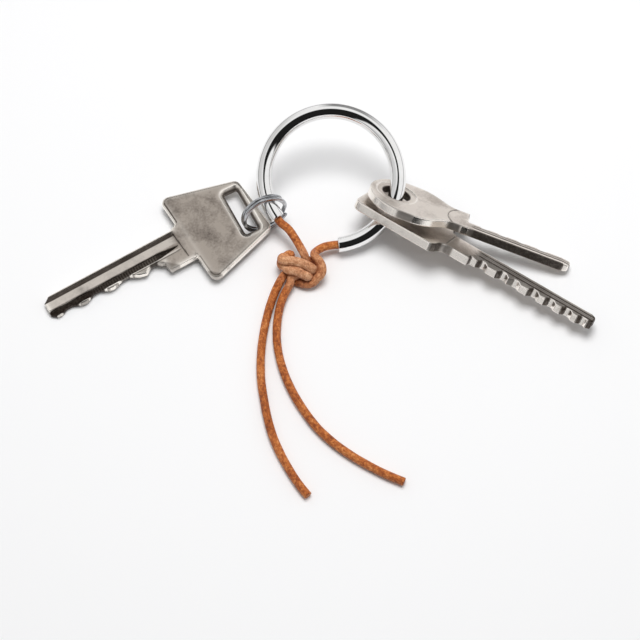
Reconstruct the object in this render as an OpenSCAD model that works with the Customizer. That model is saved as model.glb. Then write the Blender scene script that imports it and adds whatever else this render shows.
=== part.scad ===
// Key ring made from a bent metal tube, closed by a knotted leather cord,
// with a small double-coil split ring and three flat keys.
// Millimetres. X runs across, Y runs away from the viewer, Z is up, table at Z = 0.

/* [Tube ring] */
// mean radius of the bent tube
ring_r = 17; // [14:0.5:21]
// outside diameter of the tube
tube_d = 4; // [3.2:0.1:4.8]
// wall thickness of the tube
tube_wall = 0.55; // [0.4:0.05:0.8]
// angle the bent tube runs through
ring_sweep = 301; // [280:1:310]
// lean of the ring from lying flat
ring_lean = 27; // [20:1:34]
// height of the centre of the tube at its lowest point above the table
ring_low = 2.9; // [2.7:0.1:4]

/* [Leather cord] */
// diameter of the leather cord
cord_d = 2.1; // [1.6:0.1:2.4]
// size of the knot against its own centre
knot_scale = 1; // [0.85:0.05:1.15]

/* [Split ring] */
// outside diameter of the split ring
split_d = 12.4; // [10:0.1:15]
// radial thickness of the split ring wire
split_wire = 1.05; // [0.8:0.05:1.3]
// height of one coil along the axis of the split ring
split_coil = 0.85; // [0.7:0.05:1.1]

/* [Square-headed key] */
// thickness of the square-headed key
square_t = 1.9; // [1.6:0.1:2.4]
// width of the bar beyond the slot of the square-headed key
bar_w = 2.7; // [2.2:0.1:3.2]
// width of the slot of the square-headed key
slot_w = 3.8; // [3:0.1:4.6]
// length of the slot of the square-headed key
slot_l = 13.2; // [11:0.2:14]
// length of the square-headed key
square_l = 59.6; // [50:0.5:66]

/* [Oval-headed key] */
// thickness of the oval-headed key
oval_t = 2.2; // [1.6:0.1:2.6]
// width of the oval head
oval_w = 18.4; // [16:0.2:21]
// diameter of the hole in the oval head
oval_hole = 7.2; // [6.6:0.1:8.4]
// length from the hole of the oval-headed key to its tip
oval_l = 47.2; // [40:0.5:54]

/* [Long key] */
// thickness of the long key
long_t = 2.4; // [1.8:0.1:2.8]
// width of the head of the long key
long_w = 15.2; // [14:0.1:17]
// diameter of the hole in the head of the long key
long_hole = 7.4; // [6.8:0.1:8.4]
// length from the hole of the long key to its tip
long_l = 58.4; // [50:0.5:64]

/* [Hidden] */
shift = [0.34, -23.75, 0];
smooth = 96;
small = 32;
eps = 0.01;

tube_r = tube_d / 2;
bore_r = tube_r - tube_wall;
cord_r = cord_d / 2;
ring_z = ring_r * sin(ring_lean) + ring_low;
ring_c = [2.8, 35, ring_z];
left_end = 217;
right_end = left_end - ring_sweep;

// point and direction on the centreline of the tube ring
function on_ring(a) = ring_c + ring_r * [cos(a), sin(a) * cos(ring_lean), sin(a) * sin(ring_lean)];
function along_ring(a) = [-sin(a), cos(a) * cos(ring_lean), cos(a) * sin(ring_lean)];

// plates of the two keys threaded on the tube
oval_at = -16;
oval_heading = -31.4;
oval_roll = -38;
oval_swing = 17;
oval_drop = 1.1;
long_at = -30.5;
long_heading = -34.8;
long_roll = -38;
long_swing = 1.6;
long_drop = 1.2;

// square-headed key, its slot and the place where the split ring passes through it
pass_at = [-18.343, 25.078];
square_heading = -148.8;
square_bottom = split_wire + 1.1;
square_pitch = asin(square_bottom / square_l);
slot_mid = [bar_w + slot_w / 2, 0.4];
slot_tilt = -4;
pass_side = 1.2;
pass_y = 5;
pass_x = bar_w + slot_w - pass_side;
square_at = [pass_at[0] - pass_x * cos(square_heading) + pass_y * sin(square_heading),
             pass_at[1] - pass_x * sin(square_heading) - pass_y * cos(square_heading),
             square_bottom];

// split ring
split_mean = (split_d - split_wire) / 2;
split_height = split_d / 2 + 0.05;
split_heading = 25.3;
split_reach = sqrt(split_mean ^ 2 - (split_height - square_bottom - square_t / 2) ^ 2);
split_at = [pass_at[0] + split_reach * cos(split_heading),
            pass_at[1] + split_reach * sin(split_heading),
            split_height];
split_lean = 8;
split_gap = 0.06;
split_open = 28;
split_cross = 3;
split_step = 8;

// ---------- shared helpers ----------
function unit(v) = v / norm(v);
function side_of(d) = unit(cross(abs(d[2]) > 0.95 ? [0, 1, 0] : [0, 0, 1], d));
function dir_at(p, i) = unit(p[min(i + 1, len(p) - 1)] - p[max(i - 1, 0)]);

// closed tube along a route of points
module swept(route, radius, sides = 8) {
    rings = len(route);
    pts = [for (i = [0 : rings - 1])
        let (d = dir_at(route, i), s = side_of(d), u = cross(d, s))
        for (k = [0 : sides - 1])
            let (a = 360 * (k + 0.5) / sides)
            route[i] + radius * (cos(a) * s + sin(a) * u)];
    walls = [for (i = [0 : rings - 2]) for (k = [0 : sides - 1])
        [i * sides + k, i * sides + (k + 1) % sides,
         (i + 1) * sides + (k + 1) % sides, (i + 1) * sides + k]];
    cap_a = [[for (k = [sides - 1 : -1 : 0]) k]];
    cap_b = [[for (k = [0 : sides - 1]) (rings - 1) * sides + k]];
    polyhedron(points = pts, faces = [for (f = concat(walls, cap_a, cap_b)) [for (j = [len(f) - 1 : -1 : 0]) f[j]]],
               convexity = 6);
}

// outline with every corner rounded by the same radius, corners given anticlockwise
module rounded(p, r) {
    n = len(p);
    steps = 8;
    polygon([for (i = [0 : n - 1])
        let (a = unit(p[(i + n - 1) % n] - p[i]), b = unit(p[(i + 1) % n] - p[i]),
             half = acos(a * b) / 2, mid = p[i] + unit(a + b) * r / sin(half),
             first = p[i] + a * r / tan(half) - mid, start = atan2(first[1], first[0]))
        for (k = [0 : steps])
            let (t = start + (180 - 2 * half) * k / steps)
            mid + r * [cos(t), sin(t)]]);
}

// row of V cuts along a blade edge; side = 1 cuts into +Y, -1 into -Y
module cuts(at, depth, edge, side) {
    for (i = [0 : len(at) - 1])
        translate([at[i], edge])
            polygon([[-0.6 - depth[i], -side], [-0.6, side * depth[i]], [0.6, side * depth[i]],
                     [0.6 + depth[i], -side]]);
}

module in_ring_plane() {
    translate(ring_c) rotate([ring_lean, 0, 0]) children();
}

module on_plate(at, heading, roll, swing) {
    translate(on_ring(at)) rotate([0, 0, heading]) rotate([roll, 0, 0]) rotate([0, 0, swing]) children();
}

// ---------- tube ring ----------
module tube_ring() {
    color([0.80, 0.81, 0.83])
        translate(shift)
            in_ring_plane()
                rotate([0, 0, right_end])
                    rotate_extrude(angle = ring_sweep, $fn = smooth)
                        translate([ring_r, 0])
                            difference() {
                                circle(tube_r, $fn = small);
                                circle(bore_r, $fn = small);
                            }
}

// ---------- leather cord ----------
left_mouth = on_ring(left_end);
right_mouth = on_ring(right_end);
knot_c = [-4.5, 13, 3.3];
lead_left_route = [left_mouth, left_mouth + 1.5 * along_ring(left_end), [-8, 23.2, 5.2], [-6.4, 20.7, 5.1],
                   [-5, 18.1, 5], [-4.1, 16, 4.9]];
lead_right_route = [right_mouth, right_mouth - 1.6 * along_ring(right_end), [0.9, 19.2, 3], [-1.2, 17.6, 3.3],
                    [-2.4, 15.8, 3.5]];
tail_left_route = [[-8, 13.2, 2.6], [-9.3, 11.2, 2.3], [-11.3, 7, 1.7], [-12.8, 2.2, 1.2], [-13.8, -2.7, 1.1],
                   [-14.4, -7.6, 1.1], [-14.6, -12.4, 1.1], [-14.4, -17.2, 1.1], [-13.7, -22, 1.1],
                   [-12.8, -26.8, 1.1], [-11.5, -31.6, 1.1], [-9.6, -36.3, 1.1], [-7.2, -40.9, 1.1],
                   [-4.9, -44.6, 1.1], [-2.6, -47.6, 1.1]];
tail_right_route = [[-5.8, 12.2, 2.6], [-7.3, 9.5, 2.3], [-9, 6.2, 1.7], [-10.2, 2.2, 1.2], [-10.7, -2.4, 1.1],
                    [-10.6, -7, 1.1], [-9.8, -11.6, 1.1], [-8.4, -16.2, 1.1], [-6.4, -20.8, 1.1],
                    [-3.9, -25.2, 1.1], [-0.8, -29.6, 1.1], [3, -33.5, 1.1], [7.2, -36.8, 1.1],
                    [11.6, -39.6, 1.1], [15.8, -41.9, 1.1], [20, -43.8, 1.1]];

module cord_in_tube() {
    color([0.70, 0.38, 0.20])
        translate(shift)
            in_ring_plane()
                rotate([0, 0, right_end])
                    rotate_extrude(angle = ring_sweep, $fn = smooth)
                        translate([ring_r, 0])
                            circle(cord_r, $fn = small);
}

module cord_lead_left() {
    color([0.70, 0.38, 0.20]) translate(shift) swept(lead_left_route, cord_r);
}

module cord_lead_right() {
    color([0.70, 0.38, 0.20]) translate(shift) swept(lead_right_route, cord_r);
}

module cord_knot() {
    color([0.76, 0.47, 0.30])
        translate(shift + knot_c)
            scale(knot_scale)
                hull() {
                    translate([-3.7, 1.8, 0.2]) sphere(2.4, $fn = small);
                    translate([3, 1.3, 0]) sphere(3.1, $fn = small);
                    translate([1.9, -1.7, -0.4]) sphere(2.8, $fn = small);
                    translate([-2.2, -0.9, -0.6]) sphere(2.5, $fn = small);
                    translate([0, 0.2, 0]) sphere(3.2, $fn = small);
                }
}

module cord_tail_left() {
    color([0.70, 0.38, 0.20]) translate(shift) swept(tail_left_route, cord_r);
}

module cord_tail_right() {
    color([0.70, 0.38, 0.20]) translate(shift) swept(tail_right_route, cord_r);
}

// ---------- split ring ----------
// one wire wound nearly twice round, stepping from one coil to the next at the crossing
function ease(t) = t <= 0 ? 0 : t >= 1 ? 1 : t * t * (3 - 2 * t);
function coil_z(a) = (split_coil + split_gap) * (ease((a - 360 + split_open) / (2 * split_open)) - 0.5);
function coil_r(a) = split_mean + 0.4 * ease((a - 692 + split_open) / split_open);
split_section = [[-0.5, -0.5], [0.25, -0.5], [0.5, -0.25], [0.5, 0.25], [0.25, 0.5], [-0.5, 0.5]];

module split_ring() {
    sides = len(split_section);
    turns = [for (a = [split_open : split_step : 720 - split_open]) a];
    pts = [for (a = turns) for (s = split_section)
        let (r = coil_r(a) + s[0] * split_wire, z = coil_z(a) + s[1] * split_coil, b = a + split_cross)
        [r * cos(b), r * sin(b), z]];
    walls = [for (i = [0 : len(turns) - 2]) for (k = [0 : sides - 1])
        [i * sides + k, i * sides + (k + 1) % sides,
         (i + 1) * sides + (k + 1) % sides, (i + 1) * sides + k]];
    cap_a = [[for (k = [sides - 1 : -1 : 0]) k]];
    cap_b = [[for (k = [0 : sides - 1]) (len(turns) - 1) * sides + k]];
    color([0.74, 0.75, 0.77])
        translate(shift + split_at)
            rotate([0, 0, split_heading])
                rotate([90 - split_lean, 0, 0])
                    polyhedron(points = pts, faces = concat(walls, cap_a, cap_b), convexity = 10);
}

// ---------- square-headed key ----------
module square_plate() {
    rounded([[0.3, -7.8], [20.9, -13.8], [20.3, 14.3], [0, 8.4]], 2);
    difference() {
        polygon([[20.3, -6.6], [22.4, -6.6], [22.4, 6.6], [20.3, 6.6]]);
        translate([22.4, -6.6]) circle(2, $fn = small);
        translate([22.4, 6.6]) circle(2, $fn = small);
    }
    polygon([[20, -4.2], [28.4, -4.2], [28.4, 3.4], [28, 5.8], [20, 5.8]]);
    difference() {
        polygon([[22, -4.2], [square_l - 1.8, -4.2], [square_l, -3], [square_l, 0.6],
                 [square_l - 1.4, 1.9], [44, 2.1], [37, 3.3], [22, 3.4]]);
        cuts([31, 38.6, 46.6, 54.4], [0.9, 1.2, 1.1, 0.9], 2.4, -1);
    }
}

module square_key() {
    groove_d = 0.45;
    rim_w = 0.9;
    rim_d = 0.25;
    color([0.66, 0.62, 0.58])
        translate(shift + square_at)
            rotate([0, square_pitch, square_heading])
                difference() {
                    linear_extrude(square_t) square_plate();
                    translate(slot_mid) rotate(slot_tilt) {
                        translate([-slot_w / 2, -slot_l / 2, -1])
                            cube([slot_w, slot_l, square_t + 2]);
                        for (z = [-eps, square_t - rim_d])
                            translate([-slot_w / 2 - rim_w, -slot_l / 2 - rim_w, z])
                                cube([slot_w + 2 * rim_w, slot_l + 2 * rim_w, rim_d + eps]);
                    }
                    translate([24, -4.2 - eps, square_t - groove_d])
                        cube([square_l, 1.6, groove_d + eps]);
                    translate([25, -0.2, square_t - groove_d])
                        cube([square_l, 1.6, groove_d + eps]);
                    translate([25, -1.8, -eps])
                        cube([square_l, 1.6, groove_d + eps]);
                }
}

// ---------- oval-headed key ----------
module oval_plate() {
    head_r = oval_w / 2;
    mid = -0.9;
    translate([2.2, mid]) circle(head_r, $fn = smooth);
    translate([5.1, mid]) circle(head_r, $fn = smooth);
    translate([2.2, mid - head_r]) square([2.9, oval_w]);
    difference() {
        polygon([[10, -7.6], [15.6, -7.6], [15.6, -5.2], [19.6, -5.2], [19.6, 3.8], [15.6, 3.8], [10, 6]]);
        translate([15.6, -7.2]) circle(2, $fn = small);
    }
    difference() {
        polygon([[18, -5.2], [oval_l - 3.2, -5.2], [oval_l, -2.7], [oval_l, -1.9], [oval_l - 0.4, -1.6],
                 [18, -1.4]]);
        cuts([24, 29, 34, 39.5], [0.4, 0.55, 0.45, 0.6], -1.5, -1);
    }
}

module oval_key() {
    color([0.78, 0.74, 0.70])
        translate(shift)
            on_plate(oval_at, oval_heading, oval_roll, oval_swing)
                translate([0, 0, -oval_drop])
                    difference() {
                        linear_extrude(oval_t) oval_plate();
                        translate([0, 0, -1]) cylinder(d = oval_hole, h = oval_t + 2, $fn = smooth);
                        translate([0, 0, oval_t - 0.3]) cylinder(d = oval_hole + 1.6, h = 1, $fn = smooth);
                        translate([21, -3.9, oval_t - 0.5]) cube([oval_l, 0.7, 1]);
                        translate([21, -3.4, -0.5]) cube([oval_l, 0.8, 1]);
                    }
}

// ---------- long key ----------
module long_plate() {
    near = -6.3;
    far = near + long_w;
    rounded([[-7.7, near], [16, near], [16, far], [-7.7, far]], 2);
    polygon([[15, -2.4], [24.4, -2.4], [24.4, 5.2], [15, 5.2]]);
    difference() {
        polygon([[15, -1], [long_l - 1.8, 0.3], [long_l, 1.4], [long_l, 4.2], [long_l - 1.4, 5.2], [15, 5.2]]);
        cuts([27.6, 33.4, 37, 42.2, 47, 51.6, 56], [1.1, 1.3, 1, 1.5, 1.3, 1.5, 1.2], -0.3, 1);
    }
}

module long_key() {
    color([0.76, 0.72, 0.68])
        translate(shift)
            on_plate(long_at, long_heading, long_roll, long_swing)
                translate([0, 0, -long_drop])
                    difference() {
                        linear_extrude(long_t) long_plate();
                        translate([0, 0, -1]) cylinder(d = long_hole, h = long_t + 2, $fn = smooth);
                        translate([26, 1.4, long_t - 0.5]) cube([long_l, 0.9, 1]);
                        translate([26, 3.5, long_t - 0.5]) cube([long_l, 0.8, 1]);
                        translate([26, 2.4, -0.5]) cube([long_l, 1, 1]);
                    }
}

tube_ring();
cord_in_tube();
cord_lead_left();
cord_lead_right();
cord_knot();
cord_tail_left();
cord_tail_right();
split_ring();
square_key();
oval_key();
long_key();
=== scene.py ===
import bpy
import math
import numpy as np
from mathutils import Matrix


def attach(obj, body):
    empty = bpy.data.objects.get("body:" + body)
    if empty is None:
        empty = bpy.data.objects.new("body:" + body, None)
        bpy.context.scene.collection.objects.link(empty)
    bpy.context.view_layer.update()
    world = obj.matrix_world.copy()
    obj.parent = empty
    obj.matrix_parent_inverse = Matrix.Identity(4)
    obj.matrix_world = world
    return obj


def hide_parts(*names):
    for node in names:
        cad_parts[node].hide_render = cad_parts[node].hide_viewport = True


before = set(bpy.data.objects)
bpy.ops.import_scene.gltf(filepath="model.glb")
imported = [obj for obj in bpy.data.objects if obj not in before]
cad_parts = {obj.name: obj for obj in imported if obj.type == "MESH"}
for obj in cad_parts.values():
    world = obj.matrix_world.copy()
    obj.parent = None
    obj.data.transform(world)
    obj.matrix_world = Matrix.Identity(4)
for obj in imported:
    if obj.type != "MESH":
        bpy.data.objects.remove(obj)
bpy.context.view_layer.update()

# Layout frame: millimetres, as in the part's own design; row() moves it into the shared frame, in metres.
SHIFT = np.array([0.34, -23.75, 0.0])
D = math.pi / 180


def row(p):
    return (np.asarray(p, float) + SHIFT) / 1000


# ---------- camera ----------
VIEW_TILT = 63 * D
CAMERA_AWAY = 444
TOWARD = np.array([0.0, -math.cos(VIEW_TILT), math.sin(VIEW_TILT)])
IMAGE_UP = np.array([0.0, math.sin(VIEW_TILT), math.cos(VIEW_TILT)])
camera = bpy.data.objects.new("camera", bpy.data.cameras.new("camera"))
camera.data.lens = 100
camera.data.sensor_width = 36
camera.data.clip_start = 0.01
camera.data.clip_end = 20
camera.location = row(TOWARD * CAMERA_AWAY)
camera.rotation_euler = (90 * D - VIEW_TILT, 0, 0)
bpy.context.scene.collection.objects.link(camera)
bpy.context.scene.camera = camera


# ---------- geometry helpers ----------
def unit(v):
    v = np.asarray(v, float)
    return v / np.linalg.norm(v, axis=-1, keepdims=True)


def add_mesh(name, verts, quads, body, nodes, material, attributes=None, uv=None):
    mesh = bpy.data.meshes.new(name)
    verts = row(verts).astype(np.float32)
    quads = np.asarray(quads, np.int32)
    mesh.vertices.add(len(verts))
    mesh.vertices.foreach_set("co", verts.ravel())
    mesh.loops.add(quads.size)
    mesh.loops.foreach_set("vertex_index", quads.ravel())
    mesh.polygons.add(len(quads))
    mesh.polygons.foreach_set("loop_start", np.arange(0, quads.size, 4, dtype=np.int32))
    mesh.polygons.foreach_set("use_smooth", np.ones(len(quads), bool))
    mesh.update(calc_edges=True)
    for key, values in (attributes or {}).items():
        layer = mesh.attributes.new(key, "FLOAT", "POINT")
        layer.data.foreach_set("value", np.asarray(values, np.float32))
    if uv is not None:
        layer = mesh.uv_layers.new(name="UVMap")
        layer.data.foreach_set("uv", np.asarray(uv, np.float32)[quads.ravel()].ravel())
    piece = bpy.data.objects.new(name, mesh)
    bpy.context.scene.collection.objects.link(piece)
    mesh.materials.append(material)
    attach(piece, body)
    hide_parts(*nodes)
    return piece


def curve_points(points, step):
    """Catmull-Rom line through the points, at even steps."""
    p = np.asarray(points, float)
    p = np.vstack([2 * p[0] - p[1], p, 2 * p[-1] - p[-2]])
    out = []
    for a, b, c, d in zip(p[:-3], p[1:-2], p[2:-1], p[3:]):
        t = np.linspace(0, 1, 16, endpoint=False)[:, None]
        out.append(0.5 * (2 * b + (c - a) * t + (2 * a - 5 * b + 4 * c - d) * t**2
                          + (3 * b - a - 3 * c + d) * t**3))
    return even(np.vstack([*out, p[-2:-1]]), step)


def distance_along(p):
    gaps = np.linalg.norm(np.diff(p, axis=0), axis=1)
    return np.concatenate([[0], np.cumsum(gaps)])


def resampled(p, n):
    """n points at even distances along the line through p."""
    along = distance_along(p)
    s = np.linspace(0, along[-1], n)
    return np.stack([np.interp(s, along, p[:, k]) for k in range(3)], 1)


def even(p, step):
    return resampled(p, max(2, int(round(distance_along(p)[-1] / step)) + 1))


def carried_frames(path, up):
    """A side and an up direction at each point, carried along the path without twist."""
    t = unit(np.gradient(path, axis=0))
    a = unit(np.asarray(up) - t[0] * (t[0] @ up))
    sides, ups = [], []
    for d in t:
        a = unit(a - d * (a @ d))
        ups.append(a)
        sides.append(np.cross(d, a))
    return np.array(sides), np.array(ups)


PRESSED = 0.13


def tube(path, radius, sides, up=(0, 0, 1), squash=None):
    """Closed tube; radius per ring; squash = (direction, amount per ring) presses the section flat."""
    s, u = carried_frames(path, np.asarray(up, float))
    n = len(path)
    radius = np.broadcast_to(np.asarray(radius, float), (n,))
    ang = np.linspace(0, 2 * math.pi, sides, endpoint=False)
    off = np.cos(ang)[None, :, None] * s[:, None] + np.sin(ang)[None, :, None] * u[:, None]
    if squash is not None:
        axis, amount = squash
        t = unit(np.gradient(path, axis=0))
        flat = unit(axis - t * (t @ axis)[:, None])
        wide = np.cross(t, flat)
        k = np.asarray(amount)[:, None, None]
        off = off - flat[:, None] * (np.einsum("nsk,nk->ns", off, flat)[..., None] * PRESSED * k)
        off = off + wide[:, None] * (np.einsum("nsk,nk->ns", off, wide)[..., None] * PRESSED * k)
    verts = path[:, None] + off * radius[:, None, None]
    return verts, grid_faces(n, sides)


def cap_faces(ring, flip):
    """Quads that close a ring of points, laid like the rungs of a ladder."""
    rungs = np.array([[ring[j], ring[-1 - j], ring[-2 - j], ring[j + 1]] for j in range(len(ring) // 2 - 1)])
    return rungs[:, ::-1] if flip else rungs


def grid_faces(n, sides, wrap=False):
    i = np.arange(n if wrap else n - 1)[:, None]
    k = np.arange(sides)[None, :]
    j, m = (i + 1) % n, (k + 1) % sides
    return np.stack([i * sides + k, j * sides + k, j * sides + m, i * sides + m], -1).reshape(-1, 4)


# ---------- materials ----------
def new_material(name):
    mat = bpy.data.materials.new(name)
    mat.use_nodes = True
    tree = mat.node_tree
    return mat, tree, tree.nodes["Principled BSDF"]


def node(tree, kind, inputs=None, **fields):
    made = tree.nodes.new(kind)
    for key, value in fields.items():
        setattr(made, key, value)
    for key, value in (inputs or {}).items():
        if isinstance(value, bpy.types.NodeSocket):
            tree.links.new(value, made.inputs[key])
        else:
            made.inputs[key].default_value = value
    return made


def math_node(tree, how, a, b=0.0, c=0.0):
    made = node(tree, "ShaderNodeMath", operation=how)
    for k, value in enumerate((a, b, c)):
        if isinstance(value, bpy.types.NodeSocket):
            tree.links.new(value, made.inputs[k])
        else:
            made.inputs[k].default_value = value
    return made.outputs[0]


def smooth_step(tree, value, low, high):
    made = node(tree, "ShaderNodeMapRange", {"Value": value, "From Min": low, "From Max": high},
                interpolation_type="SMOOTHSTEP")
    return made.outputs["Result"]


def ramp(tree, value, stops):
    made = node(tree, "ShaderNodeValToRGB", {"Fac": value})
    band = made.color_ramp.elements
    while len(band) < len(stops):
        band.new(0.5)
    for e, (at, colour) in zip(band, stops):
        e.position = at
        e.color = (*colour, 1)
    return made.outputs["Color"]


def mixed(tree, share, a, b, how="MIX"):
    made = node(tree, "ShaderNodeMix", data_type="RGBA", blend_type=how)
    for key, value in ((0, share), (6, a), (7, b)):
        if isinstance(value, bpy.types.NodeSocket):
            tree.links.new(value, made.inputs[key])
        else:
            made.inputs[key].default_value = value if key == 0 else (*value, 1)
    return made.outputs[2]


def noise(tree, where, scale, detail=3.0, rough=0.5, distortion=0.0):
    made = node(tree, "ShaderNodeTexNoise", {"Vector": where, "Scale": scale, "Detail": detail,
                                             "Roughness": rough, "Distortion": distortion})
    return made.outputs["Fac"]


def stretched(tree, where, scale):
    return node(tree, "ShaderNodeMapping", {"Vector": where, "Scale": scale}).outputs["Vector"]


def bump(tree, height, strength, distance, normal=None):
    inputs = {"Height": height, "Strength": strength, "Distance": distance}
    if normal is not None:
        inputs["Normal"] = normal
    return node(tree, "ShaderNodeBump", inputs).outputs["Normal"]


def attribute(tree, name):
    return node(tree, "ShaderNodeAttribute", attribute_name=name).outputs["Fac"]


def leather():
    mat, tree, shader = new_material("leather")
    place = node(tree, "ShaderNodeTexCoord").outputs["Object"]
    uv = node(tree, "ShaderNodeUVMap", uv_map="UVMap").outputs["UV"]
    fibre = noise(tree, stretched(tree, uv, (700, 3200, 1)), 1, 4, 0.65, 0.5)
    cloud = noise(tree, place, 1250, 4, 0.65, 0.5)
    broad = noise(tree, place, 170, 3, 0.6)
    pores = node(tree, "ShaderNodeTexVoronoi", {"Vector": place, "Scale": 2300}).outputs["Distance"]
    mixed_value = math_node(tree, "ADD", math_node(tree, "MULTIPLY", cloud, 0.50),
                            math_node(tree, "MULTIPLY", fibre, 0.25))
    mixed_value = math_node(tree, "ADD", mixed_value, math_node(tree, "MULTIPLY", broad, 0.25))
    worn = ramp(tree, mixed_value, [(0.36, (0.12, 0.026, 0.008)), (0.45, (0.34, 0.085, 0.020)),
                                    (0.53, (0.55, 0.170, 0.040)), (0.64, (0.78, 0.36, 0.13))])
    pale = ramp(tree, mixed_value, [(0.36, (0.30, 0.105, 0.042)), (0.48, (0.62, 0.30, 0.155)),
                                    (0.60, (0.86, 0.56, 0.35))])
    colour = mixed(tree, attribute(tree, "pale"), worn, pale)
    pits = smooth_step(tree, pores, 0.05, 0.42)
    colour = mixed(tree, math_node(tree, "MULTIPLY", math_node(tree, "SUBTRACT", 1.0, pits), 0.6), colour,
                   (0.20, 0.06, 0.022))
    tree.links.new(colour, shader.inputs["Base Color"])
    rough = math_node(tree, "ADD", 0.46, math_node(tree, "MULTIPLY", cloud, 0.22))
    tree.links.new(rough, shader.inputs["Roughness"])
    shader.inputs["Specular IOR Level"].default_value = 0.4
    first = bump(tree, pits, 0.7, 0.00010)
    second = bump(tree, fibre, 0.6, 0.00014, first)
    tree.links.new(bump(tree, cloud, 0.4, 0.0002, second), shader.inputs["Normal"])
    return mat


def chrome():
    mat, tree, shader = new_material("polished_tube")
    place = node(tree, "ShaderNodeTexCoord").outputs["Object"]
    haze = noise(tree, place, 160, 4, 0.6)
    marks = noise(tree, stretched(tree, place, (1, 1, 6)), 900, 2, 0.5)
    shader.inputs["Metallic"].default_value = 1
    tree.links.new(ramp(tree, haze, [(0.3, (0.82, 0.815, 0.81)), (0.7, (0.91, 0.905, 0.90))]),
                   shader.inputs["Base Color"])
    tree.links.new(math_node(tree, "ADD", 0.035, math_node(tree, "MULTIPLY", haze, 0.05)),
                   shader.inputs["Roughness"])
    tree.links.new(bump(tree, marks, 0.05, 0.00002), shader.inputs["Normal"])
    return mat


def steel_wire():
    mat, tree, shader = new_material("ring_wire")
    place = node(tree, "ShaderNodeTexCoord").outputs["Object"]
    haze = noise(tree, place, 500, 4, 0.6)
    shader.inputs["Metallic"].default_value = 1
    tree.links.new(ramp(tree, haze, [(0.35, (0.30, 0.31, 0.325)), (0.65, (0.62, 0.63, 0.65))]),
                   shader.inputs["Base Color"])
    tree.links.new(math_node(tree, "ADD", 0.06, math_node(tree, "MULTIPLY", haze, 0.14)),
                   shader.inputs["Roughness"])
    tree.links.new(bump(tree, haze, 0.15, 0.00004), shader.inputs["Normal"])
    return mat


def nickel(name, face_dark, face_light, edge, grime_and_shade, base_rough):
    """Worn plated metal: cloudy faces, bright rubbed edges with a painted highlight, and dark grime with
    painted shade in what is cut.
    """
    mat, tree, shader = new_material(name)
    place = node(tree, "ShaderNodeTexCoord").outputs["Object"]
    cloud = noise(tree, place, 150, 5, 0.55, 0.3)
    speck = noise(tree, place, 1700, 3, 0.6)
    scratch = noise(tree, stretched(tree, place, (900, 5200, 5200)), 1, 3, 0.6)
    shader.inputs["Metallic"].default_value = 1
    value = math_node(tree, "ADD", math_node(tree, "MULTIPLY", cloud, 0.75),
                      math_node(tree, "MULTIPLY", speck, 0.25))
    face = ramp(tree, value, [(0.34, face_dark), (0.56, face_light)])
    # the near-white edge colour is partly rubbed wear and partly a painted highlight on edges and rims
    rubbed_and_highlit = math_node(tree, "MULTIPLY", attribute(tree, "wear_and_highlight"), smooth_step(tree, cloud, 0.15, 0.45))
    colour = mixed(tree, rubbed_and_highlit, face, edge)
    patchy = math_node(tree, "ADD", 0.62, math_node(tree, "MULTIPLY", speck, 0.62))
    # this mask pulls the colour toward near-black: part grime, part painted shade and painted reflection in
    # cuts and on walls
    dirt_and_shade = math_node(tree, "MULTIPLY", attribute(tree, "dirt_and_shade"), math_node(tree, "MINIMUM", patchy, 0.97))
    colour = mixed(tree, dirt_and_shade, colour, grime_and_shade)
    tree.links.new(colour, shader.inputs["Base Color"])
    rough = math_node(tree, "ADD", base_rough, math_node(tree, "MULTIPLY", cloud, 0.2))
    rough = math_node(tree, "SUBTRACT", rough, math_node(tree, "MULTIPLY", rubbed_and_highlit, 0.14))
    rough = math_node(tree, "ADD", rough, math_node(tree, "MULTIPLY", dirt_and_shade, 0.25))
    tree.links.new(rough, shader.inputs["Roughness"])
    first = bump(tree, speck, 0.12, 0.00005)
    second = bump(tree, scratch, 0.10, 0.00004, first)
    tree.links.new(bump(tree, cloud, 0.10, 0.0003, second), shader.inputs["Normal"])
    return mat


LEATHER = leather()
CHROME = chrome()
WIRE = steel_wire()
# each nickel's near-white edge colour is a painted highlight on rubbed edges, and its near-black grime colour
# also serves as painted shade
WORN = nickel("worn_nickel", (0.15, 0.125, 0.107), (0.46, 0.405, 0.355), (1.0, 0.95, 0.88),
              (0.020, 0.013, 0.009), 0.26)
PALE = nickel("pale_nickel", (0.46, 0.40, 0.35), (0.80, 0.73, 0.665), (1.0, 0.95, 0.89),
              (0.030, 0.020, 0.014), 0.24)

# ---------- shared layout of the tube ring ----------
RING_R, LEAN, TUBE_R, WALL = 17.0, 27 * D, 2.0, 0.55
RING_C = np.array([2.8, 35, RING_R * math.sin(LEAN) + 2.9])
LEFT_END, SWEEP = 217 * D, 301 * D
RIGHT_END = LEFT_END - SWEEP
CORD_R = 1.05


def on_ring(a):
    a = np.asarray(a)[..., None]
    flat, leaning = np.cos(a), np.sin(a)
    return RING_C + RING_R * np.concatenate([flat, leaning * math.cos(LEAN), leaning * math.sin(LEAN)], -1)


def along_ring(a):
    return np.array([-math.sin(a), math.cos(a) * math.cos(LEAN), math.cos(a) * math.sin(LEAN)])


# ---------- the two leather strands, laid as one knot ----------
KNOT_C = np.array([-4.5, 13, 3.3])


def knot_space(points):
    """x to the right, y up the image and w toward the viewer, about the middle of the knot."""
    return [KNOT_C + x * np.array([1.0, 0, 0]) + y * IMAGE_UP + w * TOWARD for x, y, w in points]


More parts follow.
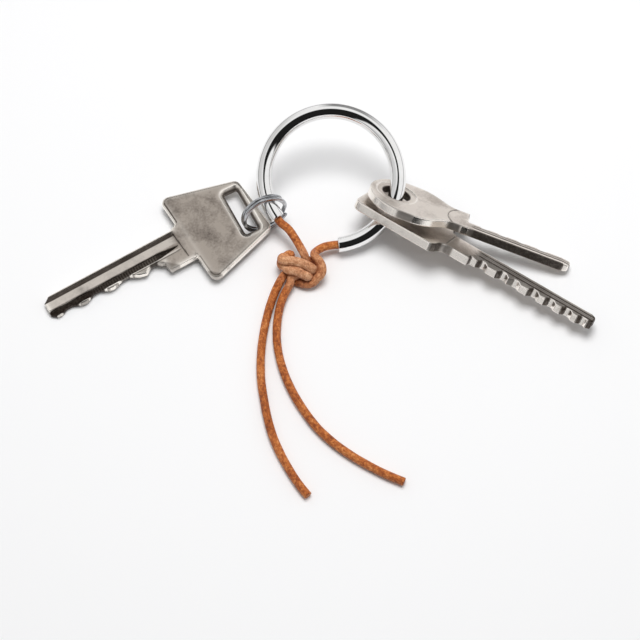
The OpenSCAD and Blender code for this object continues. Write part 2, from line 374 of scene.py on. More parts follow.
left_mouth, right_mouth = on_ring(LEFT_END), on_ring(RIGHT_END)
lead_left = [left_mouth, left_mouth + 1.5 * along_ring(LEFT_END), (-8, 23.2, 5.2), (-6.4, 20.7, 5.1),
             (-5, 18.1, 5)]
lead_right = [right_mouth, right_mouth - 1.6 * along_ring(RIGHT_END), (0.9, 19.2, 3), (-1.2, 17.6, 3.3)]
turns_left = [(0.6, 3.3, 0.6), (0.9, 2.3, -0.2), (1.8, 1.6, -1.0), (2.9, 0.4, -1.6), (2.9, -1.1, -1.9),
              (1.5, -2.2, -2.1), (-0.5, -1.5, -2.4), (-2.3, 0.2, -2.6), (-3.0, 2.2, -2.1),
              (-2.8, 3.5, -1.2), (-4.0, 2.6, -1.5), (-4.3, 1.0, -1.0), (-3.3, -0.4, 0.5),
              (-2.0, -0.9, 1.6), (0.0, -1.6, 1.9), (1.4, -2.2, 1.5), (2.3, -2.3, 0.1),
              (1.2, -1.9, -0.9), (-1.0, -1.5, -0.9), (-3.0, -1.9, -0.4)]
turns_right = [(3.1, 3.0, 0.3), (4.2, 2.0, 0.6), (5.0, 0.4, 0.9), (4.8, -1.1, 1.0), (3.9, -2.5, 0.8),
               (1.9, -3.2, 0.3), (-0.6, -2.9, -0.4), (-2.7, -1.1, -1.2), (-4.0, 0.8, -1.6),
               (-4.0, 2.8, -1.1), (-5.1, 2.7, 0.0), (-5.2, 1.7, 1.1), (-3.6, 1.6, 2.2),
               (-2.1, 1.7, 2.5), (-0.3, 1.2, 2.4), (1.6, 0.4, 2.1), (2.9, -0.6, 1.0),
               (2.8, -0.9, -0.5), (1.3, -0.3, 0.0), (-1.0, -0.4, 0.2), (-3.2, -0.7, 0.1)]
tail_left = [(-9.3, 11.2, 2.3), (-11.3, 7, 1.7), (-12.8, 2.2, 1.2), (-13.8, -2.7, 1.1), (-14.4, -7.6, 1.1),
             (-14.6, -12.4, 1.1), (-14.4, -17.2, 1.1), (-13.7, -22, 1.1), (-12.8, -26.8, 1.1),
             (-11.5, -31.6, 1.1), (-9.6, -36.3, 1.1), (-7.2, -40.9, 1.1), (-4.9, -44.6, 1.1),
             (-2.6, -47.6, 1.1)]
tail_right = [(-7.3, 9.5, 2.3), (-9, 6.2, 1.7), (-10.2, 2.2, 1.2), (-10.7, -2.4, 1.1), (-10.6, -7, 1.1),
              (-9.8, -11.6, 1.1), (-8.4, -16.2, 1.1), (-6.4, -20.8, 1.1), (-3.9, -25.2, 1.1),
              (-0.8, -29.6, 1.1), (3, -33.5, 1.1), (7.2, -36.8, 1.1), (11.6, -39.6, 1.1), (15.8, -41.9, 1.1),
              (20, -43.8, 1.1)]
STEP = 0.4
strand_a = curve_points([*lead_left, *knot_space(turns_left), *tail_right], STEP)
strand_b = curve_points([*lead_right, *knot_space(turns_right), *tail_left], STEP)


KNOT_REACH, OWN_TURN = 13, 3.4
SPACING, FLOOR_GAP = 2.04 * CORD_R, 0.03
ROUNDS, EVEN_OUT_EVERY, HELD_POINTS = 200, 30, 6
PUSH, LONGEST_PUSH, SMOOTHING, PULL_BACK = 0.16, 0.3, 0.07, 0.045


def tighten(strands):
    """Pushes strands apart and off the floor while they stay smooth and near their drawn line."""
    drawn = [s.copy() for s in strands]
    strands = [s.copy() for s in strands]
    counts = [len(s) for s in strands]
    owner = np.repeat(np.arange(len(strands)), counts)
    index = np.concatenate([np.arange(c) for c in counts])
    apart = (owner[:, None] != owner[None]) | (np.abs(index[:, None] - index[None]) * STEP > OWN_TURN)
    near = np.concatenate([np.linalg.norm(s - KNOT_C, axis=1) < KNOT_REACH for s in strands])
    for k in range(ROUNDS):
        p = np.concatenate(strands)
        push = np.zeros_like(p)
        q = np.where(near)[0]
        gap = p[q][:, None] - p[q][None]
        dist = np.linalg.norm(gap, axis=2) + 1e-9
        hit = (dist < SPACING) & apart[np.ix_(q, q)]
        force = np.where(hit, (SPACING - dist) / dist, 0)[..., None] * gap
        push[q] = PUSH * force.sum(1)
        p = p + np.clip(push, -LONGEST_PUSH, LONGEST_PUSH)
        start = 0
        for n, count in enumerate(counts):
            s = p[start:start + count]
            start += count
            loose = near[start - count:start, None]
            s[1:-1] += loose[1:-1] * SMOOTHING * ((s[:-2] + s[2:]) / 2 - s[1:-1])
            s += loose * PULL_BACK * (drawn[n] - s)
            s[:, 2] = np.maximum(s[:, 2], CORD_R + FLOOR_GAP)
            s[:HELD_POINTS], s[-HELD_POINTS:] = drawn[n][:HELD_POINTS], drawn[n][-HELD_POINTS:]
            if (k + 1) % EVEN_OUT_EVERY == 0 and k < ROUNDS - EVEN_OUT_EVERY:
                s = resampled(s, count)
            strands[n] = s
    return strands


strand_a, strand_b = tighten([strand_a, strand_b])


RING_STEP = 0.28
STRAND_SIDES = 28


def make_strand(name, line, nodes):
    path = curve_points(line[::2], RING_STEP)
    n, sides = len(path), STRAND_SIDES
    rng = np.random.default_rng(7 + len(name))
    along = np.arange(n) * RING_STEP
    lumps = sum(a * np.sin(along / w + rng.uniform(0, 6))
                for a, w in ((0.008, 0.9), (0.012, 3.1), (0.012, 6.7)))
    local = path - KNOT_C
    # what faces the viewer in the knot is pressed a little flat, and its middle is rubbed pale
    front = (local @ TOWARD > 0.9) & (np.linalg.norm(local, axis=1) < 5.4)
    front = np.convolve(front.astype(float), np.ones(9) / 9, "same")
    pale = np.clip(1.25 - np.linalg.norm(local, axis=1) / 5.6, 0, 1) ** 0.6
    pale = pale * np.clip(0.5 + (local @ TOWARD) / 2.0, 0.15, 1)
    verts, quads = tube(path, CORD_R * (0.985 + lumps), sides, squash=(TOWARD, front))
    ends = []
    count = n * sides
    extra = []
    for k, sign in ((0, -1), (n - 1, 1)):
        outward = sign * unit(path[min(k + 1, n - 1)] - path[max(k - 1, 0)])
        for share, lift in ((0.80, 0.09), (0.4, 0.12)):
            inner = path[k] + (verts[k] - path[k]) * share + outward * lift
            extra.append(inner)
            ends.append(k)
    verts = np.concatenate([verts.reshape(-1, 3), *extra])
    caps = []
    k = np.arange(sides)
    m = (k + 1) % sides
    for base, edge, flip in ((count, 0, True), (count + 2 * sides, (n - 1) * sides, False)):
        for a, b in ((edge, base), (base, base + sides)):
            f = np.stack([a + k, b + k, b + m, a + m], -1)
            caps.append(f[:, ::-1] if flip else f)
        caps.append(cap_faces(base + sides + k, flip))
    quads = np.concatenate([quads, *caps])
    around = np.linspace(0, 1, sides, endpoint=False)
    uv = np.stack(np.broadcast_arrays(along[:, None] / 1000, around[None] * 2 * math.pi * CORD_R / 1000), -1)
    uv = np.concatenate([uv.reshape(-1, 2)] + [uv[e] for e in ends])
    pale = np.concatenate([np.repeat(pale, sides)] + [np.full(sides, pale[e]) for e in ends])
    piece = add_mesh(name, verts, quads, "ring", nodes, LEATHER, {"pale": pale}, uv)
    return piece


make_strand("leather_strand_left", strand_a, ["cord_lead_left", "cord_knot", "cord_tail_right"])
make_strand("leather_strand_right", strand_b, ["cord_lead_right", "cord_tail_left"])


# ---------- bent metal tube ----------
TUBE_STEPS, BORE_STEPS, TUBE_SIDES = 300, 150, 72


def make_tube():
    bore = TUBE_R - WALL
    lip = WALL / 2
    inset = lip / RING_R
    run = LEFT_END - RIGHT_END - 2 * inset
    turn = np.linspace(90, -90, 9)[1:-1] * D
    profile = [(RIGHT_END + inset + run * t, TUBE_R) for t in np.linspace(0, 1, TUBE_STEPS)]
    profile += [(LEFT_END - inset + math.cos(t) * inset, bore + lip + math.sin(t) * lip) for t in turn]
    profile += [(LEFT_END - inset - run * t, bore) for t in np.linspace(0, 1, BORE_STEPS)]
    profile += [(RIGHT_END + inset - math.cos(t) * inset, bore + lip + math.sin(t) * lip) for t in turn[::-1]]
    profile = np.array(profile)
    ang = np.linspace(0, 2 * math.pi, TUBE_SIDES, endpoint=False)
    mid = on_ring(profile[:, 0])
    out = (mid - RING_C) / RING_R
    off = np.cos(ang)[None, :, None] * out[:, None] + np.sin(ang)[None, :, None] * np.array(
        [0, -math.sin(LEAN), math.cos(LEAN)])
    verts = (mid[:, None] + off * profile[:, 1][:, None, None]).reshape(-1, 3)
    quads = grid_faces(len(profile), TUBE_SIDES, wrap=True)[:, ::-1]
    add_mesh("bent_tube", verts, quads, "ring", ["tube_ring"], CHROME)


make_tube()
hidden_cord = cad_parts["cord_in_tube"]
hidden_cord.data.materials.clear()
hidden_cord.data.materials.append(LEATHER)

# ---------- split ring ----------
SPLIT_D, SPLIT_WIRE, SPLIT_COIL, SPLIT_GAP, SPLIT_OPEN = 12.4, 1.05, 0.85, 0.06, 28
SPLIT_STEP, SPLIT_SPRUNG = 2.5, 0.4
BAR_W, PASS_IN, PASS_Y = 2.7, 2.6, 5.0
SQUARE_T, SQUARE_L = 1.9, 59.6
SQUARE_HEADING = -148.8 * D
SQUARE_BOTTOM = SPLIT_WIRE + 1.1
SQUARE_AT = np.array([-16.4, 32.1, SQUARE_BOTTOM])
SQUARE_PITCH = math.asin(SQUARE_BOTTOM / SQUARE_L)
SPLIT_HEADING, SPLIT_TURN = 25.3 * D, 82 * D


def turned(axis, angle):
    return np.array(Matrix.Rotation(angle, 3, axis))


def make_split_ring():
    mean = (SPLIT_D - SPLIT_WIRE) / 2
    height = SPLIT_D / 2 + 0.05
    reach = math.sqrt(mean**2 - (height - SQUARE_BOTTOM - SQUARE_T / 2) ** 2)
    c, s = math.cos(SQUARE_HEADING), math.sin(SQUARE_HEADING)
    pass_x = BAR_W + PASS_IN
    centre = np.array([SQUARE_AT[0] + pass_x * c - PASS_Y * s + reach * math.cos(SPLIT_HEADING),
                       SQUARE_AT[1] + pass_x * s + PASS_Y * c + reach * math.sin(SPLIT_HEADING), height])

    def ease(t):
        t = np.clip(t, 0, 1)
        return t * t * (3 - 2 * t)

    last = 720 - SPLIT_OPEN
    turn = np.arange(SPLIT_OPEN, last + 0.1, SPLIT_STEP)
    z = (SPLIT_COIL + SPLIT_GAP) * (ease((turn - 360 + SPLIT_OPEN) / (2 * SPLIT_OPEN)) - 0.5)
    r = mean + SPLIT_SPRUNG * ease((turn - last + SPLIT_OPEN) / SPLIT_OPEN)
    taper = np.ones(len(turn))
    taper[[0, -1]] = 0.78
    taper[[1, -2]] = 0.96
    half_w, half_h, power = SPLIT_WIRE / 2, SPLIT_COIL / 2, 3.2
    ang = np.linspace(0, 2 * math.pi, 20, endpoint=False)
    sec_r = half_w * np.sign(np.cos(ang)) * np.abs(np.cos(ang)) ** (2 / power)
    sec_z = half_h * np.sign(np.sin(ang)) * np.abs(np.sin(ang)) ** (2 / power)
    b = (turn + 3) * D
    rr = r[:, None] + sec_r[None] * taper[:, None]
    zz = z[:, None] + sec_z[None] * taper[:, None]
    flat = np.stack([rr * np.cos(b)[:, None], rr * np.sin(b)[:, None], zz], -1).reshape(-1, 3)
    place = turned("Z", SPLIT_HEADING) @ turned("X", SPLIT_TURN)
    sides = len(ang)
    quads = [grid_faces(len(turn), sides)[:, ::-1]]
    for edge, flip in ((0, False), ((len(turn) - 1) * sides, True)):
        quads.append(cap_faces(edge + np.arange(sides), flip))
    add_mesh("split_ring_wire", centre + flat @ place.T, np.concatenate(quads), "split", ["split_ring"],
             WIRE)


make_split_ring()


# ---------- keys, carved from distance fields so that every edge is rounded as worn metal is ----------
def outline(x, y, pts):
    """Signed distance to a closed outline, negative inside."""
    pts = np.asarray(pts, float)
    best = np.full(x.shape, 1e9)
    inside = np.zeros(x.shape, bool)
    for (ax, ay), (bx, by) in zip(pts, np.roll(pts, -1, axis=0)):
        ex, ey = bx - ax, by - ay
        t = np.clip(((x - ax) * ex + (y - ay) * ey) / (ex * ex + ey * ey), 0, 1)
        best = np.minimum(best, np.hypot(x - ax - t * ex, y - ay - t * ey))
        if ey != 0:
            inside ^= ((ay > y) != (by > y)) & (x < ex * (y - ay) / ey + ax)
    return np.where(inside, -best, best)


def shrunk(pts, r):
    """Convex outline moved in by r, corners anticlockwise."""
    pts = np.asarray(pts, float)
    lines = []
    for a, b in zip(pts, np.roll(pts, -1, axis=0)):
        d = unit(b - a)
        normal = np.array([-d[1], d[0]])
        lines.append((normal, normal @ a + r))
    out = []
    for (n1, c1), (n2, c2) in zip([lines[-1]] + lines[:-1], lines):
        out.append(np.linalg.solve(np.array([n1, n2]), np.array([c1, c2])))
    return out


def rounded_outline(x, y, pts, r):
    return outline(x, y, shrunk(pts, r)) - r


def blend_min(a, b, k):
    h = np.clip(0.5 + 0.5 * (b - a) / k, 0, 1)
    return b * (1 - h) + a * h - k * h * (1 - h)


def rounded_box(a, b, r):
    """Distance to where both a and b are negative, with the corner between them rounded by r."""
    a, b = a + r, b + r
    return np.minimum(np.maximum(a, b), 0) + np.hypot(np.maximum(a, 0), np.maximum(b, 0)) - r


def band(v, low, high, soft=0.12):
    """1 between low and high, with soft sides."""
    return 1 / (1 + np.exp(-(v - low) / soft * 3)) * (1 / (1 + np.exp((v - high) / soft * 3)))


def nets(f, xs, ys, zs):
    """Surface of f = 0 as quads (surface nets)."""
    s = f < 0
    total = sum(s[i:s.shape[0] - 1 + i, j:s.shape[1] - 1 + j, k:s.shape[2] - 1 + k].astype(np.int8)
                for i in (0, 1) for j in (0, 1) for k in (0, 1))
    cells = np.argwhere((total > 0) & (total < 8))
    index = np.full(total.shape, -1, np.int64)
    index[tuple(cells.T)] = np.arange(len(cells))
    corners = np.array([(i, j, k) for i in (0, 1) for j in (0, 1) for k in (0, 1)])
    values = np.stack([f[tuple((cells + c).T)] for c in corners], 1)
    place, count = np.zeros((len(cells), 3)), np.zeros(len(cells))
    for a in range(8):
        for b in range(a + 1, 8):
            if np.abs(corners[a] - corners[b]).sum() != 1:
                continue
            cross = (values[:, a] < 0) != (values[:, b] < 0)
            t = values[cross, a] / (values[cross, a] - values[cross, b])
            place[cross] += corners[a] + t[:, None] * (corners[b] - corners[a])
            count[cross] += 1
    at = cells + place / count[:, None]
    steps = np.array([xs[1] - xs[0], ys[1] - ys[0], zs[1] - zs[0]])
    verts = at * steps + [xs[0], ys[0], zs[0]]
    quads = []
    for axis in range(3):
        one, two = (axis + 1) % 3, (axis + 2) % 3
        lo = [slice(None)] * 3
        hi = [slice(None)] * 3
        lo[axis], hi[axis] = slice(0, -1), slice(1, None)
        a, b = s[tuple(lo)], s[tuple(hi)]
        for first, flip in ((a & ~b, False), (~a & b, True)):
            e = np.argwhere(first)
            e = e[(e[:, one] > 0) & (e[:, two] > 0)]
            e = e[(e[:, one] < s.shape[one] - 1) & (e[:, two] < s.shape[two] - 1)]
            ring = []
            for d1, d2 in ((-1, -1), (0, -1), (0, 0), (-1, 0)):
                c = e.copy()
                c[:, one] += d1
                c[:, two] += d2
                ring.append(index[tuple(c.T)])
            q = np.stack(ring, 1)
            quads.append(q[:, ::-1] if flip else q)
    return verts, np.concatenate(quads)


def beyond(v, at, rate=3):
    """0 before the line, 1 after it, with a soft step."""
    return 1 / (1 + np.exp(-(v - at) * rate))


def cleared(wear_and_highlight, dirt_and_shade):
    return wear_and_highlight * (1 - np.clip(dirt_and_shade, 0, 1))


CARVE_STEP, CARVE_RISE, CARVE_MARGIN = 0.16, 0.1, 0.4
EDGE_ROUND = 0.28
GROOVE_DEPTH = 0.42
OVAL_T, LONG_T = 2.2, 2.4


def carve(name, shape, x_range, y_range, thick, origin, axes, body, nodes, material):
    """Key from shape(x, y), which gives its outline distance, its top and bottom, its wear with painted
    highlights and its dirt with painted shade.
    """
    xs = np.arange(x_range[0], x_range[1], CARVE_STEP)
    ys = np.arange(y_range[0], y_range[1], CARVE_STEP)
    zs = np.arange(-CARVE_MARGIN, thick + CARVE_MARGIN, CARVE_RISE)
    x, y = np.meshgrid(xs, ys, indexing="ij")
    flat, top, bottom, wear_and_highlight, dirt_and_shade = shape(x, y)
    dz = np.maximum(zs[None, None] - top[..., None], bottom[..., None] - zs[None, None])
    field = rounded_box(flat[..., None], dz, EDGE_ROUND)
    verts, quads = nets(field, xs, ys, zs)
    i = np.clip(np.round((verts[:, 0] - xs[0]) / CARVE_STEP).astype(int), 0, len(xs) - 1)
    j = np.clip(np.round((verts[:, 1] - ys[0]) / CARVE_STEP).astype(int), 0, len(ys) - 1)
    upper = np.clip((verts[:, 2] / thick - 0.35) * 4, 0, 1)
    side = np.clip(1 + flat[i, j] / 0.35, 0, 1)
    # the first mask holds rubbed wear and painted highlights; the second holds grime and painted shade, kept
    # to the upper part and the sides
    marks = {"wear_and_highlight": np.clip(wear_and_highlight[i, j], 0, 1), "dirt_and_shade": np.clip(dirt_and_shade[i, j], 0, 1) * np.maximum(upper, side)}
    world = origin + verts @ np.asarray(axes)
    add_mesh(name, world, quads, body, nodes, material, marks)


def square_shape(x, y):
    head = rounded_outline(x, y, [(0.8, -8.1), (20.9, -14.0), (20.3, 14.4), (0, 8.5)], 1.9)
    neck = outline(x, y, [(19, -6.6), (22.4, -6.6), (22.4, 6.6), (19, 6.6)])
    for side in (-1, 1):
        neck = np.maximum(neck, 2 - np.hypot(x - 22.4, y - side * 6.6))
    stop = outline(x, y, [(20, -4.2), (28.4, -4.2), (28.4, 3.4), (28, 5.8), (20, 5.8)])
    blade = outline(x, y, [(22, -4.2), (57.8, -4.2), (59.6, -3.0), (59.6, 0.6), (58.2, 1.8),
                           (57.0, 1.8), (55.4, 0.95), (53.7, 0.95), (51.4, 2.0), (50.0, 2.05),
                           (47.6, 0.9), (46.0, 0.9), (43.7, 2.1), (42.4, 2.25), (39.7, 1.35),
                           (37.8, 1.35), (35.4, 2.75), (33.6, 3.2), (31.8, 1.9), (30.2, 1.9),
                           (29.2, 2.9), (28, 3.2), (22, 3.4)])
    flat = blend_min(blend_min(head, neck, 0.5), np.minimum(stop, blade), 0.25)
    slot_x, slot_y, slot_turn = 4.6, 0.4, -4 * D
    half_w, half_l, corner = 1.9, 6.6, 0.6
    u = (x - slot_x) * math.cos(slot_turn) + (y - slot_y) * math.sin(slot_turn)
    w = -(x - slot_x) * math.sin(slot_turn) + (y - slot_y) * math.cos(slot_turn)
    slot = rounded_box(np.abs(u) - half_w, np.abs(w) - half_l, corner)
    edge_in = -flat
    flat = np.maximum(flat, -slot)
    top = np.full(x.shape, SQUARE_T)
    top -= 0.34 * np.clip((0.95 - slot) / 0.55, 0, 1)
    top += 0.05 * band(slot, 0.95, 1.35, 0.1)
    top -= 0.12 * np.clip((0.9 - edge_in) / 0.6, 0, 1) * (x < 21)
    on_blade = beyond(x, 23.4)
    late = np.clip((x - 23.2) / 5.6, 0, 1)
    groove_a = band(y, -3.75, -2.6) * beyond(x, 22.7, 4)
    low, high = 0.65 - 0.75 * late, 0.65 + 0.8 * late + 0.25 * np.clip((x - 44) / 14, 0, 1)
    groove_b = band(y, low, high) * (x > 23.2)
    ribs = 0.5 + 0.5 * np.sin(x * 2 * math.pi / 0.72)
    ribs = ribs * band(x, 29.5, 52, 1.2)
    ridge = band(y, 1.85, 2.05, 0.08) * on_blade
    near = np.clip((y - 2.05) / 1.2, 0, 1) * band(x, 29.5, 60, 0.6)
    top -= GROOVE_DEPTH * groove_a + (0.62 - 0.13 * ribs) * groove_b + 0.16 * ridge + 0.34 * near
    line = band(x + 0.05 * y, 22.42, 22.62, 0.06) * band(y, -3.2, 4.6, 0.3)
    top -= 0.14 * line
    bottom = GROOVE_DEPTH * band(y, -1.8, -0.2) * on_blade
    # Painted highlight: bright bands on the rounded outer edge, around the slot rim and along two lines of
    # the blade, over the rubbed wear.
    wear_and_highlight = 1.2 * np.exp(-np.maximum(edge_in, 0) / 0.5) + 1.3 * np.exp(-np.abs(slot - 1.0) / 0.28)
    wear_and_highlight += band(y, -2.5, -0.2, 0.2) * on_blade * 0.35 + near * 0.4
    wear_and_highlight += band(y, 1.5, 1.8, 0.08) * on_blade * 0.5
    # Part grime, part painted shade and painted reflection: the grooves, the engraved neck line, the slot
    # wall, a band just inside the head edge (strongest on the near side) and the near bevel are darkened.
    dirt_and_shade = groove_a * 0.85 + groove_b * (1 - 0.35 * ribs * np.clip((52 - x) / 20, 0, 1)) + line + ridge * 0.7
    dirt_and_shade += band(slot, -0.2, 0.45, 0.15) * 0.75
    dirt_and_shade += band(edge_in, 0.45, 0.66, 0.06) * (x < 21) * np.where(y < -5, 0.85, 0.45)
    dirt_and_shade += near * 0.85 * np.clip((edge_in - 0.25) / 0.3, 0, 1)
    dirt_and_shade += band(x + y, 31.3, 34, 0.3) * (y > 1.5) * 0.4
    return flat, top, bottom, cleared(wear_and_highlight, dirt_and_shade), dirt_and_shade


square_axes = np.array([turned("Z", SQUARE_HEADING) @ turned("Y", SQUARE_PITCH) @ e for e in np.eye(3)])
carve("square_headed_key", square_shape, (-0.6, 60.3), (-14.6, 15.1), SQUARE_T, SQUARE_AT, square_axes,
      "square", ["square_key"], WORN)


def plate(at, heading, roll, swing, drop):
    """Origin and axes of a key threaded on the tube at the angle at, turned by three angles and lowered."""
    turn = turned("Z", heading * D) @ turned("X", roll * D) @ turned("Z", swing * D)
    return on_ring(at * D) - drop * turn[:, 2], turn.T


def oval_shape(x, y):
    mid = -0.9
    u = np.clip(x, 2.2, 5.1)
    head = np.hypot(x - u, y - mid) - 9.2
    neck = outline(x, y, [(10, -5.2), (19.6, -5.2), (19.6, 3.8), (15.6, 3.8), (10, 5)])
    blade = outline(x, y, [(18, -5.2), (44.5, -5.2), (46.7, -4.4), (47.2, -3.3), (47.2, -1.9),
                           (46.8, -1.6), (41, -1.5), (40, -2.05), (39, -2.05), (38, -1.5), (35, -1.5),
                           (34.4, -1.95), (33.4, -1.95), (32.6, -1.5), (30, -1.5), (29.4, -2.0),
                           (28.4, -2.0), (27.6, -1.45), (25, -1.45), (24.4, -1.9), (23.4, -1.9),
                           (22.6, -1.4), (18, -1.4)])
    flat = blend_min(blend_min(head, neck, 2.6), blade, 0.5)
    edge_in = -flat
    hole = np.hypot(x, y) - 3.6
    flat = np.maximum(flat, -hole)
    top = np.full(x.shape, OVAL_T)
    top -= 0.22 * np.clip((1.75 - hole) / 0.3, 0, 1)
    on_blade = beyond(x, 21)
    groove = band(y, -3.9, -3.25, 0.08) * on_blade
    fine = band(y, -2.7, -2.45, 0.06) * on_blade
    top -= 0.4 * groove + 0.15 * fine
    arc = band(np.hypot(x - 19.6, y + 1.2), 5.5, 5.75, 0.06) * (x < 19) * (edge_in > 0.4)
    top -= 0.13 * arc + 0.35 * np.clip((x - 44.9) / 2.3, 0, 1) * band(y, -6, -1, 0.2)
    bottom = GROOVE_DEPTH * band(y, -3.4, -2.6) * on_blade
    # Painted highlight: bright rims along the outer edge and around the hole, over the rubbed wear.
    wear_and_highlight = np.exp(-np.maximum(edge_in, 0) / 0.4) + np.exp(-np.abs(hole - 1.8) / 0.16)
    # Part grime, part painted shade and painted reflection: the grooves, the engraved arc, the hole wall, the
    # near blade wall, patches on the near edge by the head and neck, and the far edge wall are darkened.
    dirt_and_shade = groove * 0.9 + fine * 0.8 + arc * 0.75 + band(hole, -0.3, 0.25, 0.1) * 0.9
    dirt_and_shade += band(y, -6.2, -4.85, 0.1) * np.clip((x - 19.6) / 2, 0, 1) * 0.9
    patches = band(x, 1.5, 5.5, 0.8) + band(x, 14.6, 18, 0.5)
    dirt_and_shade += 0.5 * band(edge_in, -0.5, 0.3, 0.1) * patches * (y < -4)
    dirt_and_shade += 0.6 * band(edge_in, -0.5, 0.16, 0.08) * (y > 1)
    return flat, top, bottom, cleared(wear_and_highlight, dirt_and_shade), dirt_and_shade


oval_at, oval_axes = plate(at=-16, heading=-31.4, roll=-38, swing=17, drop=1.1)
carve("oval_headed_key", oval_shape, (-8, 48), (-11, 9.2), OVAL_T, oval_at, oval_axes,
      "oval", ["oval_key"], PALE)


def long_shape(x, y):
    near, far = -6.3, 8.9
    head = rounded_outline(x, y, [(-7.7, near), (16, near), (16, far), (-7.7, far)], 2)
    stop = outline(x, y, [(15, -2.4), (24.4, -2.4), (24.4, 5.2), (15, 5.2)])
    blade = outline(x, y, [(15, -1), (26.2, -0.8), (27.2, 0.3), (28.0, 0.35), (29.2, -0.7),
                           (31.8, -0.6), (32.9, 0.75), (33.9, 0.75), (35.0, -0.3), (36.5, 0.5),
                           (37.5, 0.5), (38.6, -0.4), (40.8, -0.3), (41.8, 1.0), (42.7, 1.0),
                           (43.9, -0.2), (45.6, -0.1), (46.5, 0.95), (47.5, 0.95), (48.5, 0.0),
                           (50.2, 0.1), (51.1, 1.2), (52.1, 1.2), (53.2, 0.2), (54.6, 0.2),
                           (55.6, 1.1), (56.5, 1.1), (57.2, 0.6), (58.4, 1.5), (58.4, 4.2), (57, 5.2),
                           (15, 5.2)])
    flat = blend_min(blend_min(head, stop, 3.2), blade, 0.3)
    edge_in = -flat
    hole = np.hypot(x, y) - 3.7
    flat = np.maximum(flat, -hole)
    top = np.full(x.shape, LONG_T)
    on_blade = beyond(x, 25)
    one = band(y, 1.4, 2.2, 0.1) * on_blade
    two = band(y, 3.5, 4.2, 0.1) * on_blade
    three = band(y, 2.75, 2.95, 0.05) * on_blade
    top -= GROOVE_DEPTH * one + GROOVE_DEPTH * two + 0.12 * three
    top -= 0.35 * np.clip((1.2 - y) / 1.4, 0, 1) * on_blade
    bottom = GROOVE_DEPTH * band(y, 2.4, 3.4) * on_blade
    line = band(x, 17.3, 17.5, 0.06) * band(y, -1.6, 4.6, 0.2)
    top -= 0.13 * line
    # Painted highlight: bright rims along the outer edge and a lighter blade top, over the rubbed wear.
    wear_and_highlight = np.exp(-np.maximum(edge_in, 0) / 0.4) + 0.3 * on_blade
    lines = 0.5 + 0.5 * np.sin(y * 2 * math.pi / 0.42)
    # Painted reflection: cut walls that face the tip are darkened as if they mirrored the dark side of the
    # room.
    facing = np.gradient(flat, x[1, 0] - x[0, 0], axis=0)
    painted_wall_shade = np.clip((facing - 0.25) * 3, 0, 1) * band(edge_in, -0.5, 0.35, 0.1) * (x > 14)
    # Part grime, part painted shade: the grooves, the engraved line, fine lines on the blade, the far edge
    # wall, the wall by the stop and a patch on the head end are darkened.
    dirt_and_shade = one * 0.85 + two * 0.85 + three * 0.6 + line * 0.8 + painted_wall_shade * 0.95
    dirt_and_shade += on_blade * (0.25 + 0.4 * lines) * (edge_in > 0.3)
    dirt_and_shade += 0.6 * band(edge_in, -0.5, 0.16, 0.08) * (y > 4.6)
    dirt_and_shade += band(edge_in, -0.5, 0.3, 0.1) * band(x, 17.6, 19.6, 0.3) * (y < 0) * 0.7
    dirt_and_shade += band(x, -9, -3, 0.5) * (y > 2) * 0.35
    return flat, top, bottom, cleared(wear_and_highlight, dirt_and_shade), dirt_and_shade


long_at, long_axes = plate(at=-30.5, heading=-34.8, roll=-38, swing=1.6, drop=1.2)
carve("long_key_piece", long_shape, (-8.6, 59.2), (-7.2, 9.8), LONG_T, long_at, long_axes,
      "long", ["long_key"], PALE)

# ---------- pale floor, soft light ----------
floor_mesh = bpy.data.meshes.new("floor")
floor_mesh.from_pydata([(-3, -3, 0), (3, -3, 0), (3, 3, 0), (-3, 3, 0)], [], [(0, 1, 2, 3)])
floor = bpy.data.objects.new("floor", floor_mesh)
bpy.context.scene.collection.objects.link(floor)
paper, _, paper_shader = new_material("paper")
paper_shader.inputs["Base Color"].default_value = (0.93, 0.93, 0.935, 1)
paper_shader.inputs["Roughness"].default_value = 0.9
paper_shader.inputs["Specular IOR Level"].default_value = 0.1
floor_mesh.materials.append(paper)

world = bpy.data.worlds.new("studio")
bpy.context.scene.world = world
world.use_nodes = True
sky = world.node_tree


def times(a, b):
    return math_node(sky, "MULTIPLY", a, b)


def plus(a, b):
    return math_node(sky, "ADD", a, b)


def minus(a, b):
    return math_node(sky, "SUBTRACT", a, b)


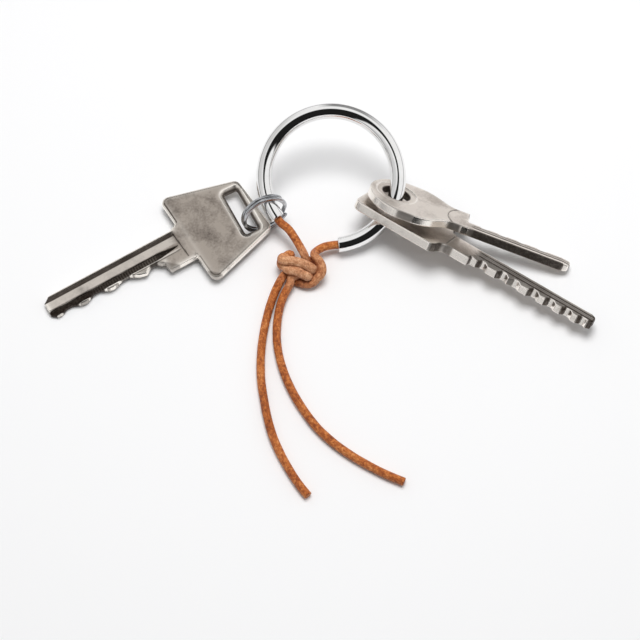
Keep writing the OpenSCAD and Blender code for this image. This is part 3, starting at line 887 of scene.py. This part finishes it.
def fade(value, low, high):
    return smooth_step(sky, value, low, high)


def dimmed(level, zone, amount):
    return times(level, minus(1.0, times(zone, amount)))


# across runs to the right, away from the viewer and up; around is the angle from far to near over the top.
# dark is the unlit part from overhead to the near side, between a left edge and a right edge.
where = node(sky, "ShaderNodeSeparateXYZ", {"Vector": node(sky, "ShaderNodeTexCoord").outputs["Generated"]})
across, away, up = where.outputs
around = times(math_node(sky, "ARCTAN2", up, away), 180 / math.pi)
past = node(sky, "ShaderNodeMapRange", {"Value": around, "From Min": 112, "From Max": 150}).outputs["Result"]
right_edge = plus(0.22, times(past, 0.65))
left_edge = minus(plus(-0.14, times(past, -0.2)), times(fade(around, 116, 104), 0.24))
dark = times(fade(around, 90, 97), fade(minus(across, left_edge), -0.04, 0.05))
dark = times(dark, fade(minus(right_edge, across), -0.05, 0.08))
low_back = times(fade(up, 0.87, 0.74), fade(across, -0.18, 0.05))
low_back = times(times(low_back, fade(across, 0.75, 0.35)), fade(away, 0.2, 0.5))
horizon = fade(math_node(sky, "ABSOLUTE", minus(up, 0.1)), 0.16, 0.04)
level = minus(1.0, times(fade(across, -0.25, -0.7), 0.28))
for zone, amount in ((horizon, 0.5), (low_back, 0.7), (dark, 0.985)):
    level = dimmed(level, zone, amount)
FLOOR_SKY, EXTRA_IN_REFLECTIONS = 0.62, 0.33
glossy = node(sky, "ShaderNodeLightPath").outputs["Is Glossy Ray"]
level = times(level, plus(FLOOR_SKY, times(glossy, EXTRA_IN_REFLECTIONS)))
background = sky.nodes["Background"]
sky.links.new(level, background.inputs["Strength"])
background.inputs["Color"].default_value = (1, 1, 1, 1)

lamp = bpy.data.lights.new("overhead", "AREA")
lamp.shape = "DISK"
lamp.size = 0.36
lamp.energy = 2.7
softbox = bpy.data.objects.new("overhead", lamp)
softbox.location = (0.02, 0.11, 0.60)
softbox.rotation_euler = (-10 * D, 0, 0)
softbox.visible_glossy = False
bpy.context.scene.collection.objects.link(softbox)
bpy.context.scene.view_settings.view_transform = "Standard"
